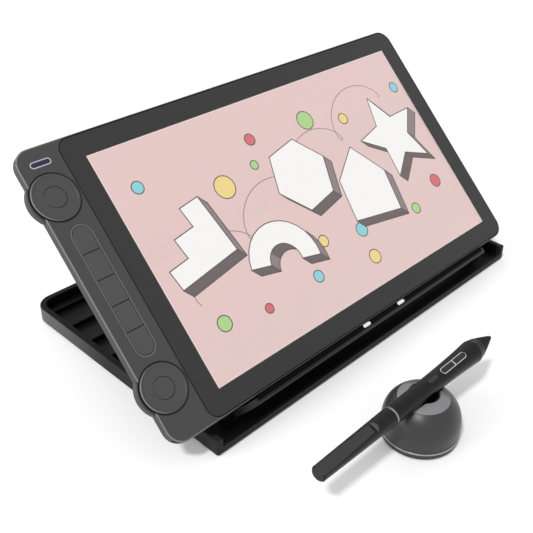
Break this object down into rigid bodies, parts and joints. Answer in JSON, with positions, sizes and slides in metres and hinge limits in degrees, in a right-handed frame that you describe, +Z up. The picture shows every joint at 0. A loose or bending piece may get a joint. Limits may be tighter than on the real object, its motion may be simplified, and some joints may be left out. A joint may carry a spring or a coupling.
{
  "type": "graphics tablet with screen",
  "caption": "Graphics tablet with screen, side keys and turning dials, on a folding stand with a ratchet tray, its pen lying across a domed pen holder.",
  "frame": {"origin": "middle of the stand's footprint, on the desk", "axes": "+X along the ledge to the right, +Y to the back, +Z up"},
  "size_m": [0.3592, 0.3069, 0.165],
  "materials": {
    "housing_grey": "fine matte moulding",
    "strip_grey": "fine matte moulding",
    "cover_glass": "anti-glare glass",
    "picture": "lit picture behind the glass",
    "light_guide_white": "clear moulded sheet",
    "board_green": "solder mask",
    "shield_metal": "rolled sheet",
    "dial_grey": "fine matte with a broken edge",
    "key_grey": "fine matte with a broken edge",
    "switch_black": "plain moulding",
    "socket_steel": "drawn shell",
    "lamp_white": "diffusing ring",
    "lit_key_dark": "smooth",
    "rubber_black": "soft matte",
    "rubber_white": "soft matte",
    "stand_black": "satin moulding",
    "leg_black": "powder coat",
    "pin_steel": "ground",
    "pen_black": "soft-touch matte",
    "pen_bright": "polished",
    "pen_key_black": "smooth",
    "nib_grey": "plain",
    "coil_copper": "wound and varnished",
    "holder_grey": "satin moulding",
    "saddle_grey": "soft-touch",
    "ring_metal": "turned"
  },
  "bodies": {
    "stand": {"stand_base": "stand_black", "base_feet": "rubber_black", "hinge_pins": "pin_steel"},
    "plate": {"support_plate": "stand_black", "plate_pads": "rubber_black", "ledge_pad": "rubber_black", "ledge_bumpers": "rubber_white", "leg_pins": "pin_steel"},
    "leg": {"prop_leg": "leg_black", "leg_foot": "rubber_black"},
    "tablet": {"front_housing": "strip_grey", "rear_housing": "housing_grey", "glass_panel": "cover_glass", "lcd_panel": "picture", "light_guide": "light_guide_white", "sensor_board": "board_green", "shield_plate": "shield_metal", "main_board": "board_green", "key_board": "board_green", "key_switches": "switch_black", "dial_encoders": "switch_black", "usb_sockets": "socket_steel", "tablet_feet": "rubber_black", "light_ring": "lamp_white"},
    "upper_dial": {"upper_dial": "dial_grey"},
    "lower_dial": {"lower_dial": "dial_grey"},
    "upper_dial_button": {"upper_dial_button": "dial_grey"},
    "lower_dial_button": {"lower_dial_button": "dial_grey"},
    "express_key_1": {"express_key_1": "key_grey"},
    "express_key_2": {"express_key_2": "key_grey"},
    "express_key_3": {"express_key_3": "key_grey"},
    "express_key_4": {"express_key_4": "key_grey"},
    "express_key_5": {"express_key_5": "key_grey"},
    "lit_key": {"lit_key": "lit_key_dark"},
    "holder_bottom": {"holder_base": "holder_grey", "holder_foot": "rubber_black", "holder_ring": "ring_metal", "holder_weight": "pin_steel", "spare_nibs": "nib_grey"},
    "holder_top": {"holder_dome": "holder_grey", "holder_saddle": "saddle_grey"},
    "pen": {"pen_barrel": "pen_black", "pen_nose": "pen_black", "pen_ring": "pen_bright", "pen_tail": "pen_black", "pen_key_trim": "pen_bright", "pen_circuit": "board_green", "pen_coil": "coil_copper", "pen_pressure_sensor": "socket_steel"},
    "pen_nib": {"pen_nib": "nib_grey"},
    "pen_key_front": {"pen_key_front": "pen_key_black"},
    "pen_key_rear": {"pen_key_rear": "pen_key_black"},
    "pen_key_small": {"pen_key_small": "pen_key_black"}
  },
  "joints": [
    {"name": "plate_tilt", "type": "hinge", "parent": "stand", "child": "plate", "pos_m": [0, -0.087, 0.0103], "axis": [1, 0, 0], "range_deg": [-45, 19.6]},
    {"name": "leg_swing", "type": "hinge", "parent": "plate", "child": "leg", "pos_m": [0, -0.02477, 0.07253], "axis": [1, 0, 0], "range_deg": [-39.2, 90]},
    {"name": "tablet_lift", "type": "slide", "parent": "plate", "child": "tablet", "axis": [0, -0.7071, 0.7071], "range_m": [0, 0.06]},
    {"name": "upper_dial_turn", "type": "hinge", "parent": "tablet", "child": "upper_dial", "pos_m": [-0.179, 0.01498, 0.14141], "axis": [0, -0.7071, 0.7071], "continuous": true},
    {"name": "lower_dial_turn", "type": "hinge", "parent": "tablet", "child": "lower_dial", "pos_m": [-0.179, -0.07694, 0.04949], "axis": [0, -0.7071, 0.7071], "continuous": true},
    {"name": "upper_dial_button_press", "type": "slide", "parent": "tablet", "child": "upper_dial_button", "axis": [0, 0.7071, -0.7071], "range_m": [0, 0.0004], "stiffness_N_per_m": 1500, "springref_m": -0.0003},
    {"name": "lower_dial_button_press", "type": "slide", "parent": "tablet", "child": "lower_dial_button", "axis": [0, 0.7071, -0.7071], "range_m": [0, 0.0004], "stiffness_N_per_m": 1500, "springref_m": -0.0003},
    {"name": "express_key_1_press", "type": "slide", "parent": "tablet", "child": "express_key_1", "axis": [0, 0.7071, -0.7071], "range_m": [0, 0.0004], "stiffness_N_per_m": 1500, "springref_m": -0.0003},
    {"name": "express_key_2_press", "type": "slide", "parent": "tablet", "child": "express_key_2", "axis": [0, 0.7071, -0.7071], "range_m": [0, 0.0004], "stiffness_N_per_m": 1500, "springref_m": -0.0003},
    {"name": "express_key_3_press", "type": "slide", "parent": "tablet", "child": "express_key_3", "axis": [0, 0.7071, -0.7071], "range_m": [0, 0.0004], "stiffness_N_per_m": 1500, "springref_m": -0.0003},
    {"name": "express_key_4_press", "type": "slide", "parent": "tablet", "child": "express_key_4", "axis": [0, 0.7071, -0.7071], "range_m": [0, 0.0004], "stiffness_N_per_m": 1500, "springref_m": -0.0003},
    {"name": "express_key_5_press", "type": "slide", "parent": "tablet", "child": "express_key_5", "axis": [0, 0.7071, -0.7071], "range_m": [0, 0.0004], "stiffness_N_per_m": 1500, "springref_m": -0.0003},
    {"name": "lit_key_press", "type": "slide", "parent": "tablet", "child": "lit_key", "axis": [0, 0.7071, -0.7071], "range_m": [0, 0.0004], "stiffness_N_per_m": 1500, "springref_m": -0.0003},
    {"name": "holder_lift", "type": "slide", "parent": "stand", "child": "holder_bottom", "axis": [0, 0, 1], "range_m": [0, 0.06]},
    {"name": "holder_twist", "type": "hinge", "parent": "holder_bottom", "child": "holder_top", "pos_m": [-0.058, -0.178, 0], "axis": [0, 0, 1], "range_deg": [0, 30]},
    {"name": "pen_lift", "type": "slide", "parent": "holder_top", "child": "pen", "axis": [0, 0, 1], "range_m": [0, 0.06]},
    {"name": "nib_press", "type": "slide", "parent": "pen", "child": "pen_nib", "axis": [-1, 0, 0], "range_m": [0, 0.0004], "stiffness_N_per_m": 1000, "springref_m": -0.0002},
    {"name": "pen_key_front_press", "type": "slide", "parent": "pen", "child": "pen_key_front", "axis": [0, 0.2756, -0.9613], "range_m": [0, 0.0003], "stiffness_N_per_m": 1500, "springref_m": -0.0003},
    {"name": "pen_key_rear_press", "type": "slide", "parent": "pen", "child": "pen_key_rear", "axis": [0, 0.2756, -0.9613], "range_m": [0, 0.0003], "stiffness_N_per_m": 1500, "springref_m": -0.0003},
    {"name": "pen_key_small_press", "type": "slide", "parent": "pen", "child": "pen_key_small", "axis": [0, 0.2756, -0.9613], "range_m": [0, 0.0003], "stiffness_N_per_m": 1500, "springref_m": -0.0003}
  ],
  "couplings": [
    {"joint": "leg_swing", "follows": "plate_tilt", "ratio": -2}
  ]
}
